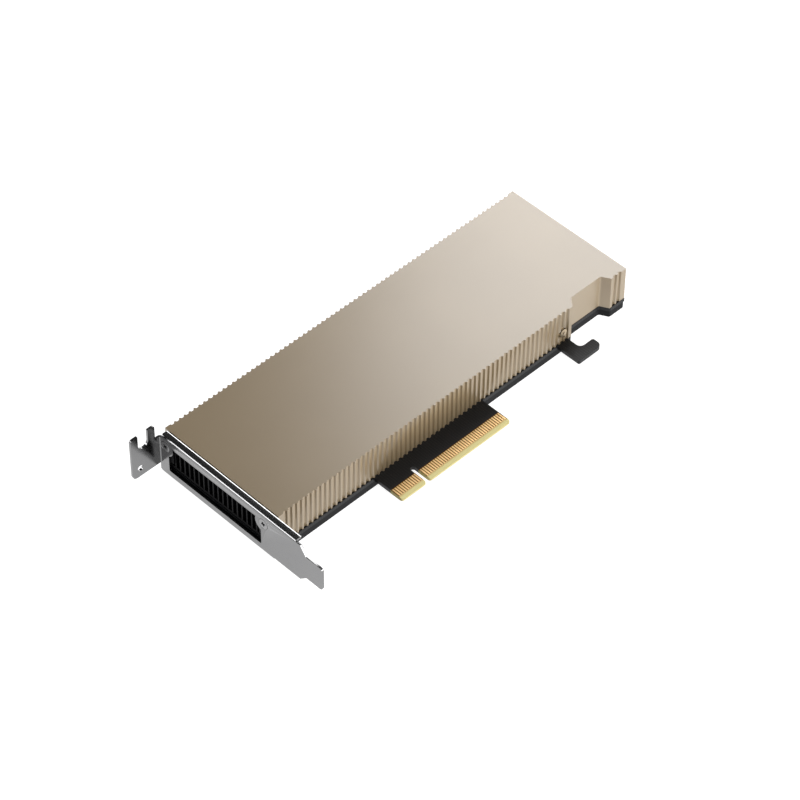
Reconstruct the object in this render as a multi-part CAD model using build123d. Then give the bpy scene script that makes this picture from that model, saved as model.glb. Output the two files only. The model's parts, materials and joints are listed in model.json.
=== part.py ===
from build123d import *
import math
import os

# Passive low-profile accelerator card, in millimetres.
# Origin: centre line of the edge connector's key notch, on the board's component
# side, at the lower edge of the contact tab. +X runs away from the bracket, +Y from
# the contacts to the card's back edge, and +Z out of the component side.

# Card envelope
card_length = 169.0
card_back_y = 68.9
card_front_y = 13.35
component_height = 14.47
solder_height = 2.67
board_thickness = 1.57
bracket_to_key = 58.65

# Edge connector
contact_pitch = 1.0
contact_width = 0.7
contact_low_y = 1.8
contact_length = 3.65
contact_thickness = 0.05
short_side_contacts = 11
long_side_contacts = 38
key_to_contact = 1.5
tab_side_margin = 0.65
key_width = 1.9
key_depth = 8.3
bevel_length = 1.3
bevel_depth = 0.45
tab_corner_radius = 0.8

# Retention hook, right of the contact tab
hook_left_x = 76.3
hook_stem_width = 5.2
hook_low_y = 3.05
hook_foot_height = 4.35
hook_length = 11.55
hook_toe_radius = 2.0
hook_tip_radius = 0.8
hook_heel_radius = 0.6
hook_throat_radius = 2.0

# Bay in the front edge, above the hook
bay_to_end = 7.55
bay_length = 19.7
bay_depth = 3.5
bay_left_slant = 2.9
bay_right_slant = 1.9
bay_corner_radius = 1.0

# Cover
cover_inset = 0.1
cover_top_thickness = 1.1
cover_wall = 0.8
rib_pitch = 2.184
rib_depth = 0.6
rib_tip_width = 0.5
rib_valley_width = 0.95
first_rib_offset = 1.96
rib_end_margin = 0.6
bracket_to_cover_gap = 0.35
bracket_to_board_gap = 0.5

# Processor package and what lies on it
processor_x = 12.0
substrate_side = 40.0
substrate_thickness = 1.1
die_length = 26.0
die_width = 21.0
die_thickness = 0.8
die_interface_thickness = 0.1
stiffener_inset = 0.8
stiffener_band = 3.2
stiffener_thickness = 0.6

# Memory, two columns beside the processor
memory_per_column = 4
memory_length = 14.0
memory_width = 12.0
memory_height = 1.2
memory_pitch = 13.0
memory_to_package_gap = 6.0
memory_pad_inset = 0.5

# Power conversion, right of the memory
inductor_count = 6
inductor_side = 7.0
inductor_height = 2.6
inductor_pitch = 8.2
inductor_edge_chamfer = 0.6
inductor_pad_inset = 0.4
inductor_pad_thickness = 0.4
memory_to_stage_gap = 4.0
stage_length = 5.0
stage_width = 6.0
stage_height = 0.9
stage_to_inductor_gap = 1.5
inductor_to_capacitor_gap = 1.5
polymer_capacitor_count = 5
polymer_capacitor_length = 7.3
polymer_capacitor_width = 4.3
polymer_capacitor_height = 1.9
polymer_capacitor_pitch = 8.2

# Small parts at the bracket end, on the component side
support_gap = 2.5
firmware_chip_length = 8.0
firmware_chip_width = 6.0
firmware_chip_height = 1.6
controller_chip_side = 7.0
controller_chip_height = 0.9
crystal_length = 3.2
crystal_width = 2.5
crystal_height = 0.8
auxiliary_inductor_side = 5.0
support_row_pitch = 10.0
crystal_spacing = 30.0

# Ceramic capacitors, in rows on both sides of the board
ceramic_length = 1.6
ceramic_width = 0.8
ceramic_height = 0.8
ceramic_pitch = 2.6
ceramic_per_row = 8
ceramic_rows = 4
ceramic_row_pitch = 3.0

# Heatsink
base_thickness = 2.6
heatsink_side_gap = 0.15
heatsink_start_gap = 0.5
heatsink_end_gap = 2.4
fin_pitch = 2.34
fin_thickness = 0.6
fin_to_cover_gap = 0.2
pedestal_margin = 1.5
post_radius = 3.0
post_overlap = 2.5
bracket_to_fin_gap = 0.5
board_to_fin_gap = 0.6
front_floor_thickness = 1.0
front_fin_overlap = 1.0
boss_radius = 2.5

# Backplate and insulating film
backplate_rim = 1.6
backplate_floor = 1.2
film_thickness = 0.15
film_edge_gap = 0.3
backplate_corner_radius = 0.8

# Screws
screw_radius = 1.0
thread_clearance = 0.04
through_clearance = 0.15
rear_head_radius = 1.9
rear_head_height = 0.8
rear_head_recess = 0.9
rear_head_clearance = 0.15
rear_screw_reach = 2.4
side_screw_to_bay = 3.9
side_head_radius = 1.75
side_head_height = 0.7
side_counterbore_radius = 2.4
side_counterbore_extra = 0.1
side_screw_reach = 4.0
bracket_head_radius = 2.2
bracket_head_depth = 0.8
bracket_head_clearance = 0.05
bracket_screw_reach = 5.0
bracket_screw_z = 10.0
bracket_screw_low_y = 17.6
bracket_screw_spacing = 48.0
corner_screw_inset_x = 9.0
boss_to_wall_gap = 0.5
package_screw_gap = 0.2
package_boss_to_wall_gap = 1.1

# Bracket, folded from one sheet
sheet = 0.86
bend_radius = 0.4
bracket_width = 18.42
bracket_top_z = 14.37
flange_depth = 2.8
top_flange_low_y = 2.3
top_flange_high_y = 67.5
bottom_flange_low_y = 13.2
bottom_flange_high_y = 67.9
face_high_y = 68.4
shoulder_y = 0.3
shoulder_drop = 3.0
tongue_length = 10.3
tongue_width = 10.3
tongue_corner_radius = 1.3
window_low_y = 18.85
window_length = 45.15
window_low_z = -0.6
window_height = 11.8
window_corner_radius = 0.6
window_boss_radius = 3.85

# Mounting tab, folded outward at the bracket's back end
tab_outer_y = 68.9
tab_length = 12.5
tab_low_z = 0.7
tab_width = 19.05
tab_heel_radius = 2.0
tab_notch_width = 4.42
tab_notch_depth = 6.75
tab_notch_to_face = 7.2
tab_relief_width = 1.6
tab_prong_radius = 0.9
tab_hole_radius = 1.25
tab_hole_to_face = 9.0
tab_hole_z = 4.4

# Places that follow from the sizes above
bracket_outer_x = -bracket_to_key
bracket_inner_x = bracket_outer_x + sheet
card_end_x = bracket_outer_x + card_length
board_start_x = bracket_inner_x + bracket_to_board_gap
cover_start_x = bracket_outer_x + flange_depth + bracket_to_cover_gap
cover_end_x = card_end_x - cover_inset
cover_front_y = card_front_y + cover_inset
cover_back_y = card_back_y - cover_inset
valley_front_y = cover_front_y + rib_depth
valley_back_y = cover_back_y - rib_depth
bay_floor_y = cover_front_y + bay_depth
bay_right_x = card_end_x - bay_to_end
bay_left_x = bay_right_x - bay_length
side_screw_x = bay_left_x - side_screw_to_bay
middle_y = (cover_front_y + cover_back_y) / 2
board_low_z = -board_thickness
card_low_z = board_low_z - solder_height
bracket_low_z = bracket_top_z - bracket_width
base_low_z = inductor_height + inductor_pad_thickness
base_top_z = base_low_z + base_thickness
side_screw_z = (base_low_z + base_top_z) / 2
pedestal_low_z = substrate_thickness + die_thickness + die_interface_thickness
memory_pad_thickness = pedestal_low_z - memory_height
ceiling_z = component_height - cover_top_thickness
fin_top_z = ceiling_z - fin_to_cover_gap
heatsink_start_x = cover_start_x + heatsink_start_gap
heatsink_end_x = cover_end_x - heatsink_end_gap
front_fin_x = bracket_inner_x + bracket_to_fin_gap
tab_left_x = -(key_to_contact + (short_side_contacts - 1) * contact_pitch + tab_side_margin)
tab_right_x = key_to_contact + (long_side_contacts - 1) * contact_pitch + tab_side_margin
memory_offset = substrate_side / 2 + memory_to_package_gap + memory_length / 2
memory_columns_x = (processor_x - memory_offset, processor_x + memory_offset)
stage_x = memory_columns_x[1] + memory_length / 2 + memory_to_stage_gap + stage_length / 2
inductor_x = stage_x + stage_length / 2 + stage_to_inductor_gap + inductor_side / 2
polymer_x = inductor_x + inductor_side / 2 + inductor_to_capacitor_gap + polymer_capacitor_width / 2
support_x = memory_columns_x[0] - memory_length / 2 - support_gap - firmware_chip_length / 2
bracket_screws_y = (bracket_screw_low_y, bracket_screw_low_y + bracket_screw_spacing)
package_screw_across = substrate_side / 2 + package_screw_gap + boss_radius
package_screw_up = middle_y - (valley_front_y + cover_wall + package_boss_to_wall_gap + boss_radius)
corner_screw_up = middle_y - (bay_floor_y + cover_wall + boss_to_wall_gap + boss_radius)

rear_screw_places = [
    (processor_x + side * package_screw_across, middle_y + up * package_screw_up)
    for side in (-1, 1)
    for up in (-1, 1)
] + [
    (x, middle_y + up * corner_screw_up)
    for x in (cover_start_x + corner_screw_inset_x, cover_end_x - corner_screw_inset_x)
    for up in (-1, 1)
]


def block(x, y, z):
    """Box between two limits on each axis."""
    sizes = [limit[1] - limit[0] for limit in (x, y, z)]
    centre = [(limit[0] + limit[1]) / 2 for limit in (x, y, z)]
    return Pos(*centre) * Box(*sizes)


def box_on(x, y, size, low_z):
    """Box of the given size, centred on x and y, standing on low_z."""
    return Pos(x, y, low_z + size[2] / 2) * Box(*size)


def slab(outline, low_z, high_z):
    """Flat outline in X and Y, raised from low_z to high_z."""
    return extrude(Pos(0, 0, low_z) * outline, high_z - low_z, dir=(0, 0, 1))


def post(x, y, radius, low_z, high_z):
    """Upright cylinder between two heights."""
    return Pos(x, y, (low_z + high_z) / 2) * Cylinder(radius, high_z - low_z)


def rod_x(y, z, radius, low_x, high_x):
    """Cylinder along X between two places."""
    return Pos((low_x + high_x) / 2, y, z) * Rot(0, 90, 0) * Cylinder(radius, high_x - low_x)


def rod_y(x, z, radius, low_y, high_y):
    """Cylinder along Y between two places."""
    return Pos(x, (low_y + high_y) / 2, z) * Rot(90, 0, 0) * Cylinder(radius, high_y - low_y)


def polygon(points):
    """Flat face inside a closed run of straight edges."""
    return make_face(Polyline(*points, close=True))


def rounded(outline, corners, radius):
    """The outline with the corners nearest to the given points rounded."""
    picked = [min(outline.vertices(), key=lambda v: math.dist((v.X, v.Y), c)) for c in corners]
    return fillet(picked, radius)


def bay_wall_x(y, right=False):
    """Where the bay's left or right wall stands at a given Y."""
    share = (y - cover_front_y) / bay_depth
    if right:
        return bay_right_x - bay_right_slant * share
    return bay_left_x + bay_left_slant * share


def bay_points(front_y, floor_y):
    """Corners of the bay, from left to right, in an edge that lies at front_y."""
    return [
        (bay_wall_x(front_y), front_y),
        (bay_wall_x(floor_y), floor_y),
        (bay_wall_x(floor_y, right=True), floor_y),
        (bay_wall_x(front_y, right=True), front_y),
    ]


def card_outline(start_x, end_x, front_y, back_y, floor_y):
    """Long outline with the bay in its front edge."""
    bay = bay_points(front_y, floor_y)
    far_corners = [(end_x, front_y), (end_x, back_y), (start_x, back_y)]
    outline = polygon([(start_x, front_y), *bay, *far_corners])
    return rounded(outline, bay, bay_corner_radius)


def flat_outline(start_x):
    """Outline that the board and the backplate share, from start_x to the card's end."""
    floor_y = bay_floor_y - cover_inset
    return card_outline(start_x, card_end_x, card_front_y, card_back_y, floor_y)


def cavity_outline(gap):
    """Inside of the cover's walls, smaller by a gap, and open past both ends."""
    past = card_length / 10
    ends = (cover_start_x - past, cover_end_x + past)
    outer = card_outline(*ends, valley_front_y, valley_back_y, bay_floor_y)
    return offset(outer, -(cover_wall + gap), kind=Kind.INTERSECTION)


def groove_centres(start_x, end_x):
    """Places of the grooves between ribs that fit between two ends of a wall."""
    half_mouth = (rib_pitch - rib_tip_width) / 2
    first = cover_start_x + first_rib_offset + rib_tip_width / 2
    count = int((cover_end_x - first) / rib_pitch) + 1
    places = [first + half_mouth + index * rib_pitch for index in range(count)]
    reach = half_mouth + rib_end_margin
    return [x for x in places if start_x + reach <= x <= end_x - reach]


def ribbed_run(start_x, end_x, tip_y, valley_y):
    """Points along a ribbed edge from start_x to end_x, ribs at tip_y and grooves at valley_y."""
    half_mouth = (rib_pitch - rib_tip_width) / 2
    half_floor = rib_valley_width / 2
    points = [(start_x, tip_y)]
    for x in groove_centres(start_x, end_x):
        points += [(x - half_mouth, tip_y), (x - half_floor, valley_y)]
        points += [(x + half_floor, valley_y), (x + half_mouth, tip_y)]
    return points + [(end_x, tip_y)]


def contacts(low_z):
    """Row of flat contacts on one side of the tab, on both sides of the key."""
    left = [-(key_to_contact + index * contact_pitch) for index in range(short_side_contacts)]
    right = [key_to_contact + index * contact_pitch for index in range(long_side_contacts)]
    size = (contact_width, contact_length, contact_thickness)
    return Compound([box_on(x, contact_low_y + contact_length / 2, size, low_z) for x in left + right])


def contact_tab():
    """Tab with the key notch and bevelled lower edge."""
    outline = polygon(
        [
            (tab_left_x, 0),
            (-key_width / 2, 0),
            (-key_width / 2, key_depth - key_width / 2),
            (key_width / 2, key_depth - key_width / 2),
            (key_width / 2, 0),
            (tab_right_x, 0),
            (tab_right_x, card_front_y),
            (tab_left_x, card_front_y),
        ]
    )
    feet = [(tab_left_x, 0), (-key_width / 2, 0), (key_width / 2, 0), (tab_right_x, 0)]
    outline = rounded(outline, feet, tab_corner_radius)
    outline -= Pos(0, key_depth - key_width / 2) * Circle(key_width / 2)
    tab = slab(outline, board_low_z, 0)
    for face_z, inward in ((0, -1), (board_low_z, 1)):
        foot = (0, face_z + inward * bevel_depth)
        wedge = Plane.YZ * polygon([(0, face_z), (bevel_length, face_z), foot])
        tab -= Pos(tab_left_x, 0, 0) * extrude(wedge, tab_right_x - tab_left_x, dir=(1, 0, 0))
    return tab


def retention_hook():
    """Hook that a slot's latch catches: a stem from the board, and a foot that points to its end."""
    root_y = bay_floor_y
    foot_high_y = hook_low_y + hook_foot_height
    stem_right_x = hook_left_x + hook_stem_width
    hook_end_x = hook_left_x + hook_length
    outline = polygon(
        [
            (hook_left_x, root_y),
            (hook_left_x, hook_low_y),
            (hook_end_x, hook_low_y),
            (hook_end_x, foot_high_y),
            (stem_right_x, foot_high_y),
            (stem_right_x, root_y),
        ]
    )
    outline = rounded(outline, [(hook_left_x, hook_low_y)], hook_heel_radius)
    outline = rounded(outline, [(hook_end_x, hook_low_y)], hook_toe_radius)
    outline = rounded(outline, [(hook_end_x, foot_high_y)], hook_tip_radius)
    outline = rounded(outline, [(stem_right_x, foot_high_y)], hook_throat_radius)
    return slab(outline, board_low_z, 0)


def make_board():
    """Bare board: body, contact tab and hook, drilled for the rear screws."""
    board = slab(flat_outline(board_start_x), board_low_z, 0) + contact_tab() + retention_hook()
    for x, y in rear_screw_places:
        board -= post(x, y, screw_radius + through_clearance, board_low_z, 0)
    return board


def make_cover():
    """Shell with a flat top and two ribbed walls, open at both ends."""
    front = ribbed_run(cover_start_x, bay_left_x, cover_front_y, valley_front_y)
    bay = bay_points(cover_front_y, bay_floor_y)
    corner = ribbed_run(bay_right_x, cover_end_x, cover_front_y, valley_front_y)
    back = ribbed_run(cover_start_x, cover_end_x, cover_back_y, valley_back_y)
    outline = polygon([*front, *bay[1:3], *corner, *reversed(back)])
    outline = rounded(outline, bay[1:3], bay_corner_radius)
    cover = slab(outline, 0, component_height) - slab(cavity_outline(0), 0, ceiling_z)
    seat = rib_depth + side_counterbore_extra
    for tip_y, inward in ((cover_front_y, 1), (cover_back_y, -1)):
        ends = sorted((tip_y, tip_y + inward * seat))
        cover -= rod_y(side_screw_x, side_screw_z, side_counterbore_radius, *ends)
        ends = sorted((tip_y + inward * seat, tip_y + inward * (rib_depth + cover_wall)))
        cover -= rod_y(side_screw_x, side_screw_z, screw_radius + through_clearance, *ends)
    return cover


def fin_comb(start_x, end_x, floor_low_z, floor_top_z):
    """Fins along the card from start_x to end_x, in one piece with the floor that they stand on."""
    low_y = valley_front_y + cover_wall + heatsink_side_gap
    high_y = valley_back_y - cover_wall - heatsink_side_gap
    fin_count = int((high_y - low_y - fin_thickness) / fin_pitch) + 1
    first_y = middle_y - (fin_count - 1) * fin_pitch / 2 - fin_thickness / 2
    points = [(low_y, floor_top_z)]
    for index in range(fin_count):
        left_y = first_y + index * fin_pitch
        right_y = left_y + fin_thickness
        points += [(left_y, floor_top_z), (left_y, fin_top_z)]
        points += [(right_y, fin_top_z), (right_y, floor_top_z)]
    points += [(high_y, floor_top_z), (high_y, floor_low_z), (low_y, floor_low_z)]
    comb = Plane.YZ * polygon(points)
    return Pos(start_x, 0, 0) * extrude(comb, end_x - start_x, dir=(1, 0, 0))


def bracket_post(y):
    """Post at the heatsink's end that carries the bracket: straight sides and a round top."""
    height = bracket_screw_z - base_low_z
    section = Pos(y, base_low_z + height / 2) * Rectangle(2 * post_radius, height)
    section += Pos(y, bracket_screw_z) * Circle(post_radius)
    length = heatsink_start_x + post_overlap - bracket_inner_x
    return Pos(bracket_inner_x, 0, 0) * extrude(Plane.YZ * section, length, dir=(1, 0, 0))


def make_heatsink():
    """Base, fins that reach the bracket, pedestal, screw bosses and the bracket's posts, in one piece."""
    pedestal_x = (
        memory_columns_x[0] - memory_length / 2 - pedestal_margin,
        memory_columns_x[1] + memory_length / 2 + pedestal_margin,
    )
    chips_y = (memory_per_column - 1) * memory_pitch / 2 + memory_width / 2
    pedestal_y = (middle_y - chips_y, middle_y + chips_y)
    heatsink = fin_comb(heatsink_start_x, heatsink_end_x, base_low_z, base_top_z)
    front_end_x = heatsink_start_x + front_fin_overlap
    heatsink += fin_comb(front_fin_x, front_end_x, board_to_fin_gap, board_to_fin_gap + front_floor_thickness)
    heatsink += block(pedestal_x, pedestal_y, (pedestal_low_z, base_low_z))
    for y in bracket_screws_y:
        heatsink += bracket_post(y)
    heatsink &= slab(cavity_outline(heatsink_side_gap), 0, fin_top_z)
    for x, y in rear_screw_places:
        heatsink += post(x, y, boss_radius, 0, base_low_z)
    for x, y in rear_screw_places:
        heatsink -= post(x, y, screw_radius + thread_clearance, 0, rear_screw_reach + base_thickness / 2)
    for y in bracket_screws_y:
        end_x = bracket_inner_x + bracket_screw_reach + sheet
        heatsink -= rod_x(y, bracket_screw_z, screw_radius + thread_clearance, bracket_inner_x, end_x)
    seat = rib_depth + cover_wall + heatsink_side_gap
    for tip_y, inward in ((cover_front_y, 1), (cover_back_y, -1)):
        ends = sorted((tip_y + inward * seat, tip_y + inward * (seat + side_screw_reach)))
        heatsink -= rod_y(side_screw_x, side_screw_z, screw_radius + thread_clearance, *ends)
    return heatsink


def make_side_screws():
    """Screws that hold the cover to the heatsink's base, one in each wall."""
    seat = rib_depth + side_counterbore_extra
    screws = []
    for tip_y, inward in ((cover_front_y, 1), (cover_back_y, -1)):
        head = sorted((tip_y + inward * (seat - side_head_height), tip_y + inward * seat))
        reach = rib_depth + cover_wall + heatsink_side_gap + side_screw_reach - thread_clearance
        shank = sorted((tip_y + inward * seat, tip_y + inward * reach))
        screws.append(
            rod_y(side_screw_x, side_screw_z, side_head_radius, *head)
            + rod_y(side_screw_x, side_screw_z, screw_radius, *shank)
        )
    return Compound([screw.solid() for screw in screws])


def make_backplate():
    """Shallow tray that covers the solder side, with a boss at each screw."""
    outline = flat_outline(cover_start_x)
    corners = [(card_end_x, card_front_y), (card_end_x, card_back_y)]
    outline = rounded(outline, corners, backplate_corner_radius)
    pocket = offset(outline, -backplate_rim, kind=Kind.INTERSECTION)
    floor_z = card_low_z + backplate_floor
    plate = slab(outline, card_low_z, board_low_z) - slab(pocket, floor_z, board_low_z)
    for x, y in rear_screw_places:
        plate += post(x, y, boss_radius, floor_z, board_low_z)
    for x, y in rear_screw_places:
        plate -= post(x, y, screw_radius + through_clearance, card_low_z, board_low_z)
        head_radius = rear_head_radius + rear_head_clearance
        plate -= post(x, y, head_radius, card_low_z, card_low_z + rear_head_recess)
    return plate


def make_insulating_film():
    """Thin film that lies on the backplate's floor, with a square cut-out round each boss."""
    inset = backplate_rim + film_edge_gap
    cutout = 2 * (boss_radius + film_edge_gap)
    sheet_outline = offset(flat_outline(cover_start_x), -inset, kind=Kind.INTERSECTION)
    floor_z = card_low_z + backplate_floor
    film = slab(sheet_outline, floor_z, floor_z + film_thickness)
    for x, y in rear_screw_places:
        film -= box_on(x, y, (cutout, cutout, film_thickness), floor_z)
    return film


def make_rear_screws():
    """Screws that pull backplate, board and heatsink together."""
    screws = []
    seat_z = card_low_z + rear_head_recess
    for x, y in rear_screw_places:
        head = post(x, y, rear_head_radius, seat_z - rear_head_height, seat_z)
        screws.append(head + post(x, y, screw_radius, seat_z, rear_screw_reach))
    return Compound([screw.solid() for screw in screws])


def bracket_head(y, clearance):
    """Countersunk cone at one bracket screw, widest at the face's outside."""
    depth = bracket_head_depth + clearance
    cone = Cone(bracket_head_radius + clearance, screw_radius + clearance, depth)
    return Pos(bracket_outer_x + depth / 2, y, bracket_screw_z) * Rot(0, 90, 0) * cone


def make_bracket_screws():
    """Two countersunk screws that hold the bracket to the heatsink's posts."""
    screws = []
    for y in bracket_screws_y:
        neck_x = bracket_outer_x + bracket_head_depth
        shank = rod_x(y, bracket_screw_z, screw_radius, neck_x, bracket_inner_x + bracket_screw_reach)
        screws.append(bracket_head(y, 0) + shank)
    return Compound([screw.solid() for screw in screws])


def bend(centre, start_angle):
    """Quarter of a ring: the section of a bend, in the plane it is drawn on."""
    outer = bend_radius + sheet
    ring = Circle(outer) - Circle(bend_radius)
    quarter = Rot(0, 0, start_angle) * Pos(outer / 2, outer / 2) * Rectangle(outer, outer)
    return Pos(*centre) * (ring & quarter)


def along_y(section, low_y, high_y):
    """Section drawn in X and Z, carried from low_y to high_y."""
    plane = Plane((0, low_y, 0), x_dir=(1, 0, 0), z_dir=(0, -1, 0))
    return extrude(plane * section, high_y - low_y, dir=(0, 1, 0))


def bracket_face():
    """Flat face with its tongue, ventilation window and screw holes."""
    bend_outer = bend_radius + sheet
    low_z = bracket_low_z + bend_outer
    high_z = bracket_top_z - bend_outer
    tab_top_z = high_z + bend_radius
    tab_tangent_y = tab_outer_y - bend_outer
    tongue_low_z = low_z + (high_z - low_z - tongue_width) / 2
    tongue_high_z = tongue_low_z + tongue_width
    outline = polygon(
        [
            (-tongue_length, tongue_low_z),
            (shoulder_y - shoulder_drop, tongue_low_z),
            (shoulder_y, low_z),
            (face_high_y, low_z),
            (face_high_y, tab_low_z),
            (tab_tangent_y, tab_low_z),
            (tab_tangent_y, high_z),
            (top_flange_low_y, high_z),
            (top_flange_low_y, bracket_top_z - bend_radius),
            (shoulder_y - bend_radius, bracket_top_z - bend_radius),
            (shoulder_y - shoulder_drop, tongue_high_z),
            (-tongue_length, tongue_high_z),
        ]
    )
    tips = [(-tongue_length, tongue_low_z), (-tongue_length, tongue_high_z)]
    outline = rounded(outline, tips, tongue_corner_radius)
    window = RectangleRounded(window_length, window_height, window_corner_radius)
    window = Pos(window_low_y + window_length / 2, window_low_z + window_height / 2) * window
    for y in bracket_screws_y:
        window -= Pos(y, bracket_screw_z) * Circle(window_boss_radius)
    face = extrude(Plane.YZ * (outline - window), sheet, dir=(1, 0, 0))
    face = Pos(bracket_outer_x, 0, 0) * face
    for y in bracket_screws_y:
        hole_radius = screw_radius + through_clearance
        face -= bracket_head(y, bracket_head_clearance)
        face -= rod_x(y, bracket_screw_z, hole_radius, bracket_outer_x, bracket_inner_x)
    return face


def bracket_flanges():
    """The two long edges, folded over the card's component and solder sides."""
    bend_outer = bend_radius + sheet
    bend_x = bracket_outer_x + bend_outer
    flange_end_x = bracket_outer_x + flange_depth
    flat_x = (bend_x + flange_end_x) / 2
    flat = Rectangle(flange_end_x - bend_x, sheet)
    top = bend((bend_x, bracket_top_z - bend_outer), 90)
    top += Pos(flat_x, bracket_top_z - sheet / 2) * flat
    bottom = bend((bend_x, bracket_low_z + bend_outer), 180)
    bottom += Pos(flat_x, bracket_low_z + sheet / 2) * flat
    top_flange = along_y(top, top_flange_low_y, top_flange_high_y)
    bottom_flange = along_y(bottom, bottom_flange_low_y, bottom_flange_high_y)
    return top_flange + bottom_flange


def mounting_tab():
    """Tab folded outward, with an open notch for the chassis screw and a small hole."""
    bend_outer = bend_radius + sheet
    inner_y = tab_outer_y - sheet
    bend_x = bracket_outer_x - bend_radius
    root_high_z = bracket_top_z - bend_outer
    fold = Plane.XY * bend((bend_x, tab_outer_y - bend_outer), 0)
    fold = slab(fold, tab_low_z, root_high_z)
    end_x = bracket_outer_x - tab_length
    high_z = tab_low_z + tab_width
    notch_x = bracket_outer_x - tab_notch_to_face
    prong_x = bend_x - tab_relief_width
    outline = polygon(
        [
            (bend_x, tab_low_z),
            (bend_x, root_high_z),
            (prong_x, root_high_z),
            (prong_x, high_z),
            (end_x, high_z),
            (end_x, tab_low_z),
        ]
    )
    outline = rounded(outline, [(end_x, tab_low_z)], tab_heel_radius)
    outline = rounded(outline, [(prong_x, high_z), (end_x, high_z)], tab_prong_radius)
    notch_round_z = high_z - tab_notch_depth + tab_notch_width / 2
    throat = Rectangle(tab_notch_width, high_z - notch_round_z)
    outline -= Pos(notch_x, notch_round_z) * Circle(tab_notch_width / 2)
    outline -= Pos(notch_x, (notch_round_z + high_z) / 2) * throat
    outline -= Pos(bracket_outer_x - tab_hole_to_face, tab_hole_z) * Circle(tab_hole_radius)
    return fold + along_y(outline, inner_y, tab_outer_y)


def make_bracket():
    """Folded sheet: face, two flanges and the mounting tab, in one piece."""
    return bracket_face() + bracket_flanges() + mounting_tab()


def make_stiffener():
    """Metal frame round the die, on the package's substrate."""
    outer = substrate_side - 2 * stiffener_inset
    inner = outer - 2 * stiffener_band
    frame = Rectangle(outer, outer) - Rectangle(inner, inner)
    top_z = substrate_thickness + stiffener_thickness
    return slab(Pos(processor_x, middle_y) * frame, substrate_thickness, top_z)


def memory_places():
    """Centres of the memory chips."""
    span = (memory_per_column - 1) / 2
    rows = [middle_y + (index - span) * memory_pitch for index in range(memory_per_column)]
    return [(x, y) for x in memory_columns_x for y in rows]


def column_places(x, count, pitch):
    """Centres of a column of parts, evenly spaced about the card's middle line."""
    return [(x, middle_y + (index - (count - 1) / 2) * pitch) for index in range(count)]


def make_power_inductors():
    """Pressed inductors with chamfered upright edges."""
    square = Rectangle(inductor_side, inductor_side)
    outline = chamfer(square.vertices(), inductor_edge_chamfer)
    places = column_places(inductor_x, inductor_count, inductor_pitch)
    return Compound([slab(Pos(x, y) * outline, 0, inductor_height).solid() for x, y in places])


def ceramic_places():
    """Rows of small capacitors under the processor."""
    across = (ceramic_per_row - 1) / 2
    along = (ceramic_rows - 1) / 2
    return [
        (processor_x + (column - across) * ceramic_pitch, middle_y + (row - along) * ceramic_row_pitch)
        for row in range(ceramic_rows)
        for column in range(ceramic_per_row)
    ]


def make_front_ceramics():
    """Small capacitors in a column beside each memory column, on the component side."""
    size = (ceramic_width, ceramic_length, ceramic_height)
    reach = memory_length / 2 + support_gap / 2
    places = []
    for x in (memory_columns_x[0] - reach, memory_columns_x[1] + reach):
        places += column_places(x, 2 * ceramic_per_row, ceramic_pitch)
    return repeat(size, places)


def make_rear_ceramics():
    """Small capacitors under the processor, on the solder side."""
    size = (ceramic_length, ceramic_width, ceramic_height)
    return repeat(size, ceramic_places(), board_low_z - ceramic_height)


def make_support_chips():
    """Controllers and the firmware memory, in a column at the bracket end."""
    controller = (controller_chip_side, controller_chip_side, controller_chip_height)
    firmware = (firmware_chip_length, firmware_chip_width, firmware_chip_height)
    sizes = (controller, firmware, controller)
    places = column_places(support_x, len(sizes), support_row_pitch)
    return Compound([box_on(x, y, size, 0) for (x, y), size in zip(places, sizes)])


def make_auxiliary_inductors():
    """Two smaller inductors for the memory supply, beside the support chips."""
    x = support_x - firmware_chip_length / 2 - support_gap / 2 - auxiliary_inductor_side / 2
    size = (auxiliary_inductor_side, auxiliary_inductor_side, inductor_height)
    return repeat(size, column_places(x, 2, support_row_pitch))


def make_timing_crystals():
    """Two crystals, one at each end of the support chips' column."""
    size = (crystal_length, crystal_width, crystal_height)
    return repeat(size, column_places(support_x, 2, crystal_spacing))


def make_processor():
    """The package's substrate, die and thermal interface, one on another."""
    layers = {
        "processor_substrate": (substrate_side, substrate_side, substrate_thickness),
        "processor_die": (die_length, die_width, die_thickness),
        "die_thermal_interface": (die_length, die_width, die_interface_thickness),
    }
    low_z = 0
    pieces = {}
    for name, size in layers.items():
        pieces[name] = box_on(processor_x, middle_y, size, low_z)
        low_z += size[2]
    return pieces


def repeat(size, places, low_z=0):
    """One box at each place, all standing at the same height."""
    return Compound([box_on(x, y, size, low_z) for x, y in places])


def make_repeated_parts():
    """Chips, pads and capacitors that stand in rows on the component side."""
    pad_length = memory_length - 2 * memory_pad_inset
    pad_width = memory_width - 2 * memory_pad_inset
    pad_side = inductor_side - 2 * inductor_pad_inset
    polymer = (polymer_capacitor_width, polymer_capacitor_length, polymer_capacitor_height)
    inductors = column_places(inductor_x, inductor_count, inductor_pitch)
    stages = column_places(stage_x, inductor_count, inductor_pitch)
    polymers = column_places(polymer_x, polymer_capacitor_count, polymer_capacitor_pitch)
    return {
        "memory_chips": repeat((memory_length, memory_width, memory_height), memory_places()),
        "memory_thermal_pads": repeat(
            (pad_length, pad_width, memory_pad_thickness), memory_places(), memory_height
        ),
        "inductor_thermal_pads": repeat(
            (pad_side, pad_side, inductor_pad_thickness), inductors, inductor_height
        ),
        "power_stages": repeat((stage_length, stage_width, stage_height), stages),
        "polymer_capacitors": repeat(polymer, polymers),
    }


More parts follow.
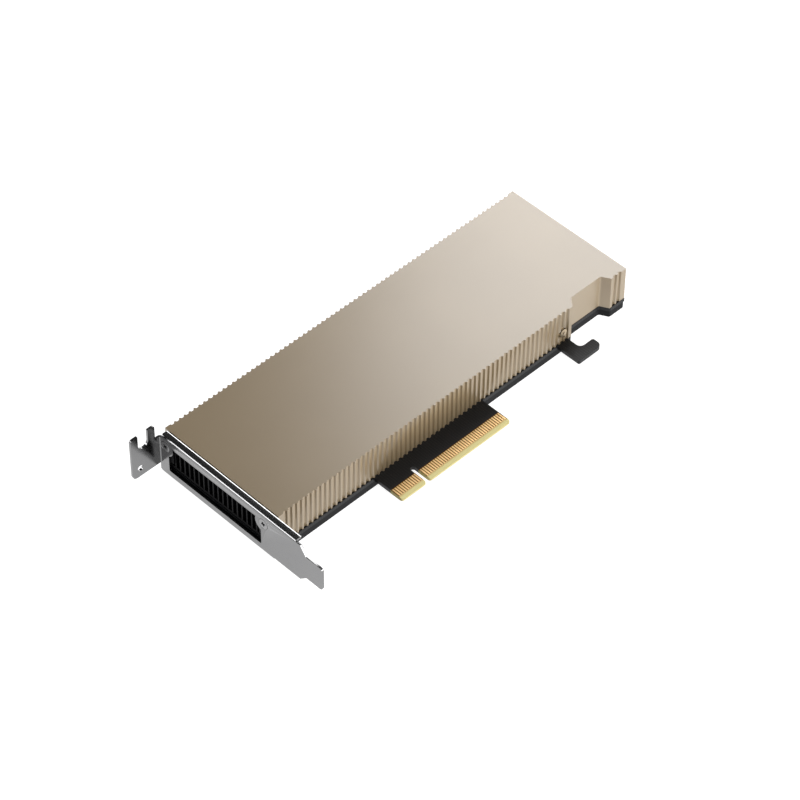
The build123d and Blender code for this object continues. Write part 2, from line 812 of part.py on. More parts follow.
def main():
    os.makedirs("parts", exist_ok=True)
    parts = {
        "board": make_board(),
        "edge_contacts_component_side": contacts(0),
        "edge_contacts_solder_side": contacts(board_low_z - contact_thickness),
        "cover": make_cover(),
        "cover_side_screws": make_side_screws(),
        "heatsink": make_heatsink(),
        "bracket": make_bracket(),
        "bracket_screws": make_bracket_screws(),
        "backplate": make_backplate(),
        "backplate_screws": make_rear_screws(),
        "insulating_film": make_insulating_film(),
        "processor_stiffener": make_stiffener(),
        "power_inductors": make_power_inductors(),
        "auxiliary_inductors": make_auxiliary_inductors(),
        "component_side_capacitors": make_front_ceramics(),
        "solder_side_capacitors": make_rear_ceramics(),
        "support_chips": make_support_chips(),
        "timing_crystals": make_timing_crystals(),
        **make_processor(),
        **make_repeated_parts(),
    }
    for name, shape in parts.items():
        export_step(shape, f"parts/{name}.step")


main()
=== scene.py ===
"""Looks of a passive accelerator card: finishes, deburred shells, screws, studio and camera."""

import json
import logging
import math
from dataclasses import dataclass
from enum import Enum
from typing import Protocol

import bmesh
import bpy
from mathutils import Matrix, Vector


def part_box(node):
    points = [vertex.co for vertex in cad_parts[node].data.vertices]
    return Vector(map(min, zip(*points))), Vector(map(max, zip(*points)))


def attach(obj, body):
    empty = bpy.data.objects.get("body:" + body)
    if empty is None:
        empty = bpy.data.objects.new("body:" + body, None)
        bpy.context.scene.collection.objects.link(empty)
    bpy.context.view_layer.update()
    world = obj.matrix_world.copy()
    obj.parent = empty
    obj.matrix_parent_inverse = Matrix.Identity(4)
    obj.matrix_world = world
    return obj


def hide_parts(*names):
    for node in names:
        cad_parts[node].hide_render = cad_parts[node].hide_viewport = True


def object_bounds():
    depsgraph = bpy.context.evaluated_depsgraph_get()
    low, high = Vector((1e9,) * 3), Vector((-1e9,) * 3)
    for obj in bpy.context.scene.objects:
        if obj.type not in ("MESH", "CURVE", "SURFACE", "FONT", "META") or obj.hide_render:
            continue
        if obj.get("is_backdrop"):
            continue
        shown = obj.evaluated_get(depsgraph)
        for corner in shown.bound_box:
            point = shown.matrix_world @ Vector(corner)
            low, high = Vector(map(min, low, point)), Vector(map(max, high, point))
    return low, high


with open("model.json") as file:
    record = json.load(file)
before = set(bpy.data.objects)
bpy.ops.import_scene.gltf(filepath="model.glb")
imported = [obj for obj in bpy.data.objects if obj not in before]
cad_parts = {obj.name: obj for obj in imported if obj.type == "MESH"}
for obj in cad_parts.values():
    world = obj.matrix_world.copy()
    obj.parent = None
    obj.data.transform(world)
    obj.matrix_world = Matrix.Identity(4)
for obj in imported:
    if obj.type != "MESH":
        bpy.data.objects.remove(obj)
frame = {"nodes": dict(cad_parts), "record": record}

LOG = logging.getLogger("accelerator_card")
MM = 0.001
BODY = "root"
# Range that nearly all of a noise lies within
NOISE_SPAN = (0.3, 0.7)
# Corners nearer than this are one corner
WELD_M = 0.001 * MM
# Repeats of the wave texture over a length of 2 pi at scale 1
WAVES_PER_TURN = 20

Colour = tuple[float, float, float]
Point = tuple[float, float, float]


class Axis(Enum):
    """Main directions of the card, as unit vectors."""

    ALONG = Vector((1.0, 0.0, 0.0))
    ACROSS = Vector((0.0, 1.0, 0.0))
    UP = Vector((0.0, 0.0, 1.0))


class Slot(Enum):
    """Material slots of the record that finishes are made for."""

    SHELL = "champagne_metal"
    FINS = "black_metal"
    BRACKET = "bracket_steel"
    BOARD = "board_laminate"
    CONTACTS = "contact_gold"
    BACKPLATE = "backplate_metal"
    SCREWS = "screw_steel"
    FILM = "film"
    PACKAGE = "package_laminate"
    SILICON = "silicon"
    STIFFENER = "stiffener_steel"
    GREASE = "thermal_grease"
    PADS = "thermal_pad"
    CHIPS = "chip_resin"
    INDUCTORS = "inductor_powder"
    POLYMER = "capacitor_resin"
    CERAMIC = "capacitor_ceramic"
    CRYSTAL = "crystal_can"


def dimmed(colour: Colour, share: float) -> Colour:
    """A colour with all its channels scaled by a share."""
    return tuple(share * channel for channel in colour)


class Nodes:
    """Node tree with short ways to add and join its nodes."""

    def __init__(self, tree: bpy.types.NodeTree) -> None:
        """Keeps the tree at hand.

        Args:
            tree: Tree of a material or of the world.
        """
        self.tree = tree

    def add(self, kind: str) -> bpy.types.Node:
        """Adds a node of one kind."""
        return self.tree.nodes.new(kind)

    def feed(self, socket: bpy.types.NodeSocket, value: object) -> None:
        """Links a socket, or sets it where the value is a constant.

        Args:
            socket: Input to fill.
            value: Output socket, number or colour.
        """
        if isinstance(value, bpy.types.NodeSocket):
            self.tree.links.new(value, socket)
        else:
            socket.default_value = (*value, 1.0) if isinstance(value, tuple) else value

    def split(self, vector: bpy.types.NodeSocket) -> tuple[bpy.types.NodeSocket, ...]:
        """Splits a vector into its X, Y and Z."""
        node = self.add("ShaderNodeSeparateXYZ")
        self.feed(node.inputs[0], vector)
        return tuple(node.outputs)

    def seen_by(self, *kinds: str) -> bpy.types.NodeSocket:
        """Gives 1 for rays of the kinds named, and 0 for all others."""
        paths = self.add("ShaderNodeLightPath").outputs
        seen = paths[kinds[0]]
        for kind in kinds[1:]:
            seen = self.maths("MAXIMUM", seen, paths[kind])
        return seen

    def maths(self, operation: str, first: object, second: object = 0.0) -> bpy.types.NodeSocket:
        """Joins two values by one operation."""
        node = self.add("ShaderNodeMath")
        node.operation = operation
        self.feed(node.inputs[0], first)
        self.feed(node.inputs[1], second)
        return node.outputs[0]

    def spread(
        self, source: object, low: float, high: float, to: tuple[float, float]
    ) -> bpy.types.NodeSocket:
        """Carries a range of a value smoothly to another range.

        Args:
            source: Value to carry over.
            low: Value that becomes the first of the new range.
            high: Value that becomes the second.
            to: The new range.

        Returns:
            Output within the new range.
        """
        node = self.add("ShaderNodeMapRange")
        node.interpolation_type = "SMOOTHSTEP"
        for socket, value in zip(node.inputs, (source, low, high, *to)):
            self.feed(socket, value)
        return node.outputs[0]

    def blend(self, share: object, first: object, second: object) -> bpy.types.NodeSocket:
        """Mixes two colours by a share of the second."""
        node = self.add("ShaderNodeMix")
        node.data_type = "RGBA"
        self.feed(node.inputs["Factor"], share)
        self.feed(node.inputs[6], first)
        self.feed(node.inputs[7], second)
        return node.outputs[2]


class Recipe(Nodes):
    """One node material whose patterns lie on Object coordinates."""

    def __init__(self, name: str) -> None:
        """Starts a material with a bare Principled shader.

        Args:
            name: Name of the finish.
        """
        self.material = bpy.data.materials.new(name)
        self.material.use_nodes = True
        super().__init__(self.material.node_tree)
        self.shader = self.tree.nodes["Principled BSDF"]
        self.place = self.add("ShaderNodeTexCoord").outputs["Object"]

    def set(self, **inputs: object) -> "Recipe":
        """Fills inputs of the shader, named with underscores for spaces.

        Returns:
            The recipe itself.
        """
        for name, value in inputs.items():
            self.feed(self.shader.inputs[name.replace("_", " ")], value)
        return self

    def axes(self) -> tuple[bpy.types.NodeSocket, ...]:
        """Splits the place on the object into its X, Y and Z."""
        return self.split(self.place)

    def normal_axes(self) -> tuple[bpy.types.NodeSocket, ...]:
        """Splits the surface's own direction into its X, Y and Z."""
        return self.split(self.add("ShaderNodeTexCoord").outputs["Normal"])

    def stretched(self, stretch: Point) -> bpy.types.NodeSocket:
        """Place on the object, stretched along its axes."""
        mapping = self.add("ShaderNodeMapping")
        mapping.inputs["Scale"].default_value = stretch
        self.feed(mapping.inputs["Vector"], self.place)
        return mapping.outputs[0]

    def noise(
        self, grain_mm: float, detail: float = 3.0, stretch: Point = (1.0, 1.0, 1.0)
    ) -> bpy.types.NodeSocket:
        """Soft noise whose features are about one grain wide.

        Args:
            grain_mm: Size of a feature.
            detail: Octaves of finer noise on top.
            stretch: Scale along each axis, under 1 to draw the grain out.

        Returns:
            Output between 0 and 1.
        """
        texture = self.add("ShaderNodeTexNoise")
        self.feed(texture.inputs["Vector"], self.stretched(stretch))
        texture.inputs["Scale"].default_value = 1 / (grain_mm * MM)
        texture.inputs["Detail"].default_value = detail
        return texture.outputs[0]

    def follow(self, noise: bpy.types.NodeSocket, low: float, high: float) -> bpy.types.NodeSocket:
        """Value between two limits that follows a noise."""
        return self.spread(noise, *NOISE_SPAN, (low, high))

    def relief(self, height: object, depth_mm: float) -> "Recipe":
        """Bumps the surface by a height pattern.

        Args:
            height: Pattern between 0 and 1.
            depth_mm: Depth of the pattern's full range.

        Returns:
            The recipe itself.
        """
        bump = self.add("ShaderNodeBump")
        bump.inputs["Distance"].default_value = depth_mm * MM
        self.feed(bump.inputs["Height"], height)
        return self.set(Normal=bump.outputs[0])


class Finish(Protocol):
    """Anything that can make a material."""

    def material(self, name: str) -> bpy.types.Material:
        """Makes the finish's material under the given name."""
        ...


@dataclass(frozen=True)
class SatinAnodised:
    """Blasted and dyed aluminium: tinted metal under a clear oxide layer."""

    colour: Colour = (0.36, 0.278, 0.17)
    roughness: float = 0.75
    grain_mm: float = 0.22
    grain_depth_mm: float = 0.003
    coat: float = 1.0
    coat_roughness: float = 0.28
    coat_ior: float = 1.85
    cloud_mm: float = 35.0
    cloud_shade: float = 0.96
    swing: float = 0.02

    def material(self, name: str) -> bpy.types.Material:
        """Makes the finish's material under the given name."""
        recipe = Recipe(name)
        cloud = recipe.noise(self.cloud_mm)
        recipe.set(
            Base_Color=recipe.blend(cloud, dimmed(self.colour, self.cloud_shade), self.colour),
            Metallic=1.0,
            Roughness=recipe.follow(cloud, self.roughness - self.swing, self.roughness + self.swing),
            Coat_Weight=self.coat,
            Coat_Roughness=self.coat_roughness,
            Coat_IOR=self.coat_ior,
        )
        return recipe.relief(recipe.noise(self.grain_mm, 2.0), self.grain_depth_mm).material


@dataclass(frozen=True)
class RolledSteel:
    """Plated sheet steel with a faint rolling grain across the card."""

    colour: Colour = (0.24, 0.24, 0.242)
    roughness: float = 0.17
    grain_mm: float = 0.12
    grain_depth_mm: float = 0.0001
    drawn_out: float = 0.04
    cloud_mm: float = 9.0
    cloud_shade: float = 0.9
    swing: float = 0.015

    def material(self, name: str) -> bpy.types.Material:
        """Makes the finish's material under the given name."""
        recipe = Recipe(name)
        grain = recipe.noise(self.grain_mm, stretch=(1.0, self.drawn_out, 1.0))
        cloud = recipe.noise(self.cloud_mm)
        recipe.set(
            Base_Color=recipe.blend(cloud, dimmed(self.colour, self.cloud_shade), self.colour),
            Metallic=1.0,
            Roughness=recipe.follow(cloud, self.roughness - self.swing, self.roughness + self.swing),
        )
        return recipe.relief(grain, self.grain_depth_mm).material


@dataclass(frozen=True)
class ShadePaintedScrewSteel:
    """Plated screw with painted shade: faces square to the card keep the plated colour, while flanks
    and recesses are painted dark.
    """

    face: Colour = (0.30, 0.30, 0.303)
    # Dark colour painted on flanks and in recesses as painted shade
    painted_shade: Colour = (0.03, 0.03, 0.031)
    roughness: float = 0.3
    grain_mm: float = 0.1
    grain_depth_mm: float = 0.0005
    shade_edge_span: tuple[float, float] = (0.93, 0.985)
    swing: float = 0.05

    def material(self, name: str) -> bpy.types.Material:
        """Makes the finish's material under the given name."""
        recipe = Recipe(name)
        grain = recipe.noise(self.grain_mm)
        largest = 0.0
        for part in recipe.normal_axes():
            largest = recipe.maths("MAXIMUM", largest, recipe.maths("ABSOLUTE", part))
        # Painted shade: where the surface leans away from the card's axes, as on flanks and in
        # recesses, the colour turns to the dark painted one
        unshaded = recipe.spread(largest, *self.shade_edge_span, (0.0, 1.0))
        recipe.set(
            Base_Color=recipe.blend(unshaded, self.painted_shade, self.face),
            Metallic=1.0,
            Roughness=recipe.follow(grain, self.roughness - self.swing, self.roughness + self.swing),
        )
        return recipe.relief(grain, self.grain_depth_mm).material


@dataclass(frozen=True)
class Moulded:
    """Plain stuff with a fine grain: resin, pressed powder, rubber, paint or dyed oxide."""

    colour: Colour
    roughness: float
    grain_mm: float
    grain_depth_mm: float
    metallic: float = 0.0
    specular: float = 0.5
    grains_per_cloud: float = 20.0
    cloud_shade: float = 0.85
    swing: float = 0.04

    def material(self, name: str) -> bpy.types.Material:
        """Makes the finish's material under the given name."""
        recipe = Recipe(name)
        grain = recipe.noise(self.grain_mm)
        cloud = recipe.noise(self.grains_per_cloud * self.grain_mm)
        recipe.set(
            Base_Color=recipe.blend(cloud, dimmed(self.colour, self.cloud_shade), self.colour),
            Metallic=self.metallic,
            Specular_IOR_Level=self.specular,
            Roughness=recipe.follow(grain, self.roughness - self.swing, self.roughness + self.swing),
        )
        return recipe.relief(grain, self.grain_depth_mm).material


@dataclass(frozen=True)
class MaskedLaminate:
    """Circuit board: black mask over copper, bare laminate round the contacts and on cut edges."""

    mask: Colour = (0.0105, 0.0112, 0.0130)
    bed: Colour = (0.15, 0.055, 0.004)
    strip: Colour = (0.78, 0.60, 0.27)
    cut: Colour = (0.82, 0.73, 0.35)
    edge: Colour = (0.009, 0.0095, 0.0105)
    specular: float = 0.22
    bed_specular: float = 0.05
    bed_top_mm: float = 5.75
    strip_top_mm: float = 1.8
    tab_end_mm: float = 40.0
    fade_mm: float = 0.06
    level_span: tuple[float, float] = (0.96, 0.99)
    roughness: tuple[float, float] = (0.34, 0.44)
    weave_mm: float = 0.25
    weave_stretch: Point = (1.0, 1.0, 4.0)
    bed_shade: float = 0.7
    cut_shade: float = 0.85
    trace_pitch_mm: float = 1.0
    trace_depth_mm: float = 0.02
    trace_edge: tuple[float, float] = (0.45, 0.55)

    def material(self, name: str) -> bpy.types.Material:
        """Makes the finish's material under the given name."""
        recipe = Recipe(name)
        along, across, _ = recipe.axes()
        slope = recipe.maths("ABSOLUTE", recipe.normal_axes()[2])
        level = recipe.spread(slope, *self.level_span, (0.0, 1.0))
        on_tab = self.short_of(recipe, along, self.tab_end_mm)
        in_bed = recipe.maths("MULTIPLY", on_tab, self.short_of(recipe, across, self.bed_top_mm))
        weave = recipe.noise(self.weave_mm, 2.0, self.weave_stretch)
        masked = recipe.blend(level, self.edge, self.mask)
        bed = recipe.blend(weave, dimmed(self.bed, self.bed_shade), self.bed)
        bed = recipe.blend(self.short_of(recipe, across, self.strip_top_mm), bed, self.strip)
        cut = recipe.blend(weave, dimmed(self.cut, self.cut_shade), self.cut)
        recipe.set(
            Base_Color=recipe.blend(in_bed, masked, recipe.blend(level, cut, bed)),
            Specular_IOR_Level=recipe.spread(in_bed, 0.0, 1.0, (self.specular, self.bed_specular)),
            Roughness=recipe.follow(weave, *self.roughness),
        )
        return recipe.relief(self.traces(recipe), self.trace_depth_mm).material

    def short_of(
        self, recipe: Recipe, place: bpy.types.NodeSocket, limit_mm: float
    ) -> bpy.types.NodeSocket:
        """Share that is 1 where a place falls short of a limit, and 0 past it."""
        low, high = (limit_mm - self.fade_mm) * MM, (limit_mm + self.fade_mm) * MM
        return recipe.spread(place, low, high, (1.0, 0.0))

    def traces(self, recipe: Recipe) -> bpy.types.NodeSocket:
        """Height of the tracks that show faintly through the mask."""
        tracks = recipe.add("ShaderNodeTexWave")
        tracks.inputs["Scale"].default_value = math.tau / (WAVES_PER_TURN * self.trace_pitch_mm * MM)
        tracks.inputs["Distortion"].default_value = 1.5
        tracks.inputs["Detail"].default_value = 1.0
        recipe.feed(tracks.inputs["Vector"], recipe.place)
        return recipe.spread(tracks.outputs["Fac"], *self.trace_edge, (0.0, 1.0))


@dataclass(frozen=True)
class GoldPlating:
    """Hard gold over copper, wiped along each contact by earlier insertions, and darker over the outer
    part of each contact.
    """

    colour: Colour = (0.94, 0.69, 0.36)
    worn: Colour = (0.82, 0.57, 0.27)
    side: Colour = (0.46, 0.20, 0.03)
    roughness: tuple[float, float] = (0.39, 0.55)
    cloud_mm: float = 1.6
    wipe_mm: float = 0.05
    wipe_stretch: Point = (1.0, 0.03, 1.0)
    wipe_depth_mm: float = 0.0006
    pitch_mm: float = 1.0
    middle_pitches: float = 0.5
    side_span_pitches: tuple[float, float] = (0.27, 0.34)

    def material(self, name: str) -> bpy.types.Material:
        """Makes the finish's material under the given name."""
        recipe = Recipe(name)
        wipe = recipe.noise(self.wipe_mm, 2.0, self.wipe_stretch)
        cloud = recipe.noise(self.cloud_mm)
        along = recipe.maths("FRACT", recipe.maths("DIVIDE", recipe.axes()[0], self.pitch_mm * MM))
        aside = recipe.maths("ABSOLUTE", recipe.maths("SUBTRACT", along, self.middle_pitches))
        side = recipe.spread(aside, *self.side_span_pitches, (0.0, 1.0))
        recipe.set(
            Base_Color=recipe.blend(side, recipe.blend(cloud, self.worn, self.colour), self.side),
            Metallic=1.0,
            Roughness=recipe.follow(wipe, *self.roughness),
        )
        return recipe.relief(wipe, self.wipe_depth_mm).material


@dataclass(frozen=True)
class CappedCeramic:
    """Small ceramic blocks in rows, each with a tinned cap at both ends."""

    body: Colour = (0.42, 0.30, 0.19)
    cap: Colour = (0.60, 0.60, 0.58)
    roughness: tuple[float, float] = (0.4, 0.55)
    grain_mm: float = 0.15
    grain_depth_mm: float = 0.004
    pitch_mm: float = 2.6
    cap_from_centre_mm: float = 0.5
    cap_edge_pitches: float = 0.01
    first_across_m: float = 0.0
    first_along_m: float = 0.0

    def material(self, name: str) -> bpy.types.Material:
        """Makes the finish's material under the given name."""
        recipe = Recipe(name)
        along, across, up = recipe.axes()
        front = self.caps(recipe, across, self.first_across_m)
        rear = self.caps(recipe, along, self.first_along_m)
        on_front = recipe.spread(up, -0.1 * MM, 0.0, (0.0, 1.0))
        on_rear = recipe.maths("SUBTRACT", 1.0, on_front)
        front_caps = recipe.maths("MULTIPLY", on_front, front)
        capped = recipe.maths("ADD", front_caps, recipe.maths("MULTIPLY", on_rear, rear))
        grain = recipe.noise(self.grain_mm)
        recipe.set(
            Base_Color=recipe.blend(capped, self.body, self.cap),
            Metallic=capped,
            Roughness=recipe.follow(grain, *self.roughness),
        )
        return recipe.relief(grain, self.grain_depth_mm).material

    def caps(
        self, recipe: Recipe, place: bpy.types.NodeSocket, first_m: float
    ) -> bpy.types.NodeSocket:
        """Share that is 1 on the caps of a row whose first centre is given."""
        steps = recipe.maths("DIVIDE", recipe.maths("SUBTRACT", place, first_m), self.pitch_mm * MM)
        offset = recipe.maths("ABSOLUTE", recipe.maths("SUBTRACT", steps, recipe.maths("ROUND", steps)))
        edge, blur = self.cap_from_centre_mm / self.pitch_mm, self.cap_edge_pitches
        return recipe.spread(offset, edge - blur, edge + blur, (0.0, 1.0))


class Wardrobe:
    """Every finish of the card by its slot, made once each."""

    def __init__(self) -> None:
        """Sets out the finishes."""
        front_low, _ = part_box("component_side_capacitors")
        rear_low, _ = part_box("solder_side_capacitors")
        half_length = 0.8 * MM
        self.finishes: dict[Slot, Finish] = {
            Slot.SHELL: SatinAnodised(),
            Slot.FINS: Moulded((0.003, 0.003, 0.0034), 0.5, 0.2, 0.004, specular=0.08),
            Slot.BRACKET: RolledSteel(),
            Slot.BOARD: MaskedLaminate(),
            Slot.CONTACTS: GoldPlating(),
            Slot.BACKPLATE: Moulded((0.007, 0.0074, 0.0085), 0.5, 0.25, 0.005, specular=0.12),
            Slot.SCREWS: ShadePaintedScrewSteel(),
            Slot.FILM: Moulded((0.02, 0.02, 0.02), 0.5, 0.4, 0.002),
            Slot.PACKAGE: Moulded((0.03, 0.13, 0.06), 0.4, 0.2, 0.003),
            Slot.SILICON: Moulded((0.07, 0.075, 0.09), 0.1, 0.1, 0.0002, 0.6),
            Slot.STIFFENER: RolledSteel((0.55, 0.54, 0.53), 0.3),
            Slot.GREASE: Moulded((0.5, 0.5, 0.52), 0.6, 0.3, 0.02),
            Slot.PADS: Moulded((0.32, 0.42, 0.58), 0.75, 0.25, 0.02),
            Slot.CHIPS: Moulded((0.022, 0.022, 0.024), 0.55, 0.12, 0.006),
            Slot.INDUCTORS: Moulded((0.10, 0.10, 0.105), 0.6, 0.18, 0.02, 0.2),
            Slot.POLYMER: Moulded((0.03, 0.026, 0.022), 0.45, 0.15, 0.004),
            Slot.CERAMIC: CappedCeramic(
                first_across_m=front_low.y + half_length, first_along_m=rear_low.x + half_length
            ),
            Slot.CRYSTAL: RolledSteel((0.6, 0.59, 0.56), 0.28, 0.1, 0.001),
        }
        self.made: dict[Slot, bpy.types.Material] = {}

    def material(self, slot: Slot) -> bpy.types.Material:
        """Gives the material of a slot, and makes it the first time."""
        if slot not in self.made:
            self.made[slot] = self.finishes[slot].material(slot.value)
        return self.made[slot]

    def dress(self, piece: bpy.types.Object, slot: Slot) -> None:
        """Puts a slot's material on a piece.

        Args:
            piece: Object to dress.
            slot: Slot whose finish it takes.
        """
        if piece.material_slots:
            for holder in piece.material_slots:
                holder.material = self.material(slot)
        else:
            piece.data.materials.append(self.material(slot))


class Workshop:
    """Turns meshes into pieces that ride on the card."""

    smooth_deg: float = 30.0

    def __init__(self, wardrobe: Wardrobe) -> None:
        """Keeps the finishes at hand."""
        self.wardrobe = wardrobe

    def piece(
        self, name: str, build: bmesh.types.BMesh, slot: Slot, node: str, finish: Finish | None = None
    ) -> bpy.types.Object:
        """Makes a finished piece that stands for a node.

        Args:
            name: Name of the piece.
            build: Its mesh, in place. It is freed.
            slot: Slot that gives its finish.
            node: CAD node that the piece stands for.
            finish: The piece's own finish, where it differs from the slot's.

        Returns:
            The piece.
        """
        mesh = bpy.data.meshes.new(name)
        build.to_mesh(mesh)
        build.free()
        mesh.shade_smooth()
        mesh.set_sharp_from_angle(angle=math.radians(self.smooth_deg))
        piece = bpy.data.objects.new(name, mesh)
        bpy.context.scene.collection.objects.link(piece)
        if finish:
            mesh.materials.append(finish.material(name))
        else:
            self.wardrobe.dress(piece, slot)
        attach(piece, BODY)
        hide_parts(node)
        LOG.info("%s: %d faces, %s", name, len(mesh.polygons), slot.value)
        return piece


@dataclass(frozen=True)
class DeburredShell:
    """A rigid piece with its solid's own form and broken sharp edges."""

    node: str
    name: str
    slot: Slot
    edge_mm: float
    sharp_deg: float = 35.0
    flat_deg: float = 0.5

    def build(self, workshop: Workshop) -> bpy.types.Object:
        """Copies the node's mesh, joins its corners and breaks its edges.

        Args:
            workshop: Where the piece is finished.

        Returns:
            The piece that stands for the node.
        """
        build = bmesh.new()
        build.from_mesh(frame["nodes"][self.node].data)
        bmesh.ops.remove_doubles(build, verts=build.verts, dist=WELD_M)
        bmesh.ops.dissolve_limit(
            build,
            angle_limit=math.radians(self.flat_deg),
            verts=build.verts,
            edges=build.edges,
            use_dissolve_boundaries=False,
        )
        self.work(build)
        piece = workshop.piece(self.name, build, self.slot, self.node)
        bevel = piece.modifiers.new("broken_edges", "BEVEL")
        bevel.width = self.edge_mm * MM
        bevel.segments = 2
        bevel.limit_method = "ANGLE"
        bevel.angle_limit = math.radians(self.sharp_deg)
        bevel.harden_normals = True
        return piece

    def work(self, build: bmesh.types.BMesh) -> None:
        """Leaves the form as the solid has it."""


@dataclass(frozen=True)
class FoldedBracket(DeburredShell):
    """The bracket, whose two flanges slope down a little along their far edges."""

    slope_width_mm: float = 0.32
    slope_drop_mm: float = 0.08
    crease_mm: float = 0.05
    reach_mm: float = 0.02

    def work(self, build: bmesh.types.BMesh) -> None:
        """Cuts lines beside each flange's far edge and slopes what lies past them.

        Args:
            build: The bracket's mesh.
        """
        far_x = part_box(self.node)[1].x
        start = far_x - self.slope_width_mm * MM
        for crease in (-self.crease_mm, 0.0, self.crease_mm):
            bmesh.ops.bisect_plane(
                build,
                geom=[*build.verts, *build.edges, *build.faces],
                plane_co=(start + crease * MM, 0.0, 0.0),
                plane_no=Axis.ALONG.value,
            )
        slope = self.slope_drop_mm / self.slope_width_mm
        reach = self.reach_mm * MM
        edge_heights = [vert.co.z for vert in build.verts if vert.co.x > far_x - reach]
        for vert in build.verts:
            drop = slope * max(vert.co.x - start, 0.0)
            if abs(vert.co.z - max(edge_heights)) < reach:
                vert.co.z -= drop
            elif abs(vert.co.z - min(edge_heights)) < reach:
                vert.co.z += drop


@dataclass(frozen=True)
class CrossScrew:
    """Machine screw with a cross recess, modelled upright with its head's top at the origin."""

    head_radius_mm: float
    head_height_mm: float
    shank_radius_mm: float
    shank_length_mm: float
    countersunk: bool = False
    thread_pitch_mm: float = 0.4
    thread_depth_mm: float = 0.14
    recess_width_mm: float = 0.42
    recess_reach_mm: float = 0.95
    recess_depth_mm: float = 0.55
    recess_taper: float = 0.35
    recess_above_mm: float = 0.3
    sunk_rim_mm: float = 0.2
    dome_share: float = 0.3
    tip_mm: float = 0.15
    steps: int = 32

    def profile(self) -> list[tuple[float, float]]:
        """Half section of the screw as radius and height, in millimetres."""
        under = -self.head_height_mm
        if self.countersunk:
            rim = self.sunk_rim_mm
            edge = [(self.head_radius_mm, -0.5 * rim)]
        else:
            rim = self.dome_share * self.head_height_mm
            fall = self.dome_share * rim
            edge = [(self.head_radius_mm - fall, -fall), (self.head_radius_mm, -rim)]
            edge.append((self.head_radius_mm, under))
        points = [(0.0, 0.0), (self.head_radius_mm - rim, 0.0), *edge, (self.shank_radius_mm, under)]
        root = self.shank_radius_mm - self.thread_depth_mm
        end = under - self.shank_length_mm
        ridges = int((self.shank_length_mm - 2 * self.thread_pitch_mm) / self.thread_pitch_mm)
        for index in range(ridges):
            crest = under - (index + 1) * self.thread_pitch_mm
            points += [(root, crest + self.thread_pitch_mm / 2), (self.shank_radius_mm, crest)]
        return points + [(root, end + self.thread_depth_mm), (root - self.tip_mm, end), (0.0, end)]

    def body(self) -> bmesh.types.BMesh:
        """Turns the half section round the screw's axis.

        Returns:
            A closed mesh without the recess.
        """
        build = bmesh.new()
        corners = [build.verts.new((r * MM, 0.0, z * MM)) for r, z in self.profile()]
        edges = [build.edges.new(pair) for pair in zip(corners, corners[1:])]
        bmesh.ops.spin(
            build,
            geom=corners + edges,
            cent=(0, 0, 0),
            axis=Axis.UP.value,
            angle=math.tau,
            steps=self.steps,
            use_merge=True,
        )
        bmesh.ops.remove_doubles(build, verts=build.verts, dist=2 * WELD_M)
        bmesh.ops.recalc_face_normals(build, faces=build.faces)
        return build

    def recess(self) -> bmesh.types.BMesh:
        """Cross-shaped cutter that narrows towards its tip.

        Returns:
            A closed mesh of two crossed wedges, joined by the boolean that uses it.
        """
        build = bmesh.new()
        height = self.recess_depth_mm + self.recess_above_mm
        for turn in (0.0, math.pi / 2):
            made = bmesh.ops.create_cube(build, size=1.0)["verts"]
            for vert in made:
                share = self.recess_taper if vert.co.z < 0 else 1.0
                vert.co.x *= 2 * self.recess_reach_mm * share
                vert.co.y *= self.recess_width_mm * share
                vert.co.z = (vert.co.z + 0.5) * height - self.recess_depth_mm
            bmesh.ops.scale(build, verts=made, vec=(MM, MM, MM))
            matrix = Matrix.Rotation(turn, 3, "Z")
            bmesh.ops.rotate(build, verts=made, cent=(0, 0, 0), matrix=matrix)
        return build

    def mesh(self) -> bpy.types.Mesh:
        """Cuts the recess into the body.

        Returns:
            The finished screw, upright at the origin.
        """
        parts = []
        for name, build in (("screw_body", self.body()), ("screw_recess", self.recess())):
            mesh = bpy.data.meshes.new(name)
            build.to_mesh(mesh)
            build.free()
            parts.append(bpy.data.objects.new(name, mesh))
            bpy.context.scene.collection.objects.link(parts[-1])
        screw, cutter = parts
        cut = screw.modifiers.new("recess", "BOOLEAN")
        cut.object = cutter
        cut.solver = "EXACT"
        cut.use_self = True
        bpy.context.view_layer.update()
        evaluated = screw.evaluated_get(bpy.context.evaluated_depsgraph_get())
        result = bpy.data.meshes.new_from_object(evaluated)
        for part in parts:
            mesh = part.data
            bpy.data.objects.remove(part)
            bpy.data.meshes.remove(mesh)
        return result


@dataclass(frozen=True)
class ScrewSet:
    """Like screws in one node, each with its head at a place and facing a way."""

    node: str
    name: str
    screw: CrossScrew
    facing: Axis
    heads: tuple[tuple[Point, int, float], ...]
    slot: Slot = Slot.SCREWS
    finish: Finish | None = None

    def build(self, workshop: Workshop) -> bpy.types.Object:
        """Sets a copy of the screw at each place.

        Args:
            workshop: Where the piece is finished.

        Returns:
            The piece that stands for the node.
        """
        build = bmesh.new()
        pattern = self.screw.mesh()
        for place, way, turn_deg in self.heads:
            before = len(build.verts)
            build.from_mesh(pattern)
            build.verts.ensure_lookup_table()
            facing = way * self.facing.value
            turn = facing.to_track_quat("Z", "Y").to_matrix().to_4x4()
            spin = Matrix.Rotation(math.radians(turn_deg), 4, "Z")
            matrix = Matrix.Translation(Vector(place)) @ turn @ spin
            bmesh.ops.transform(build, matrix=matrix, verts=build.verts[before:])
        return workshop.piece(self.name, build, self.slot, self.node, self.finish)


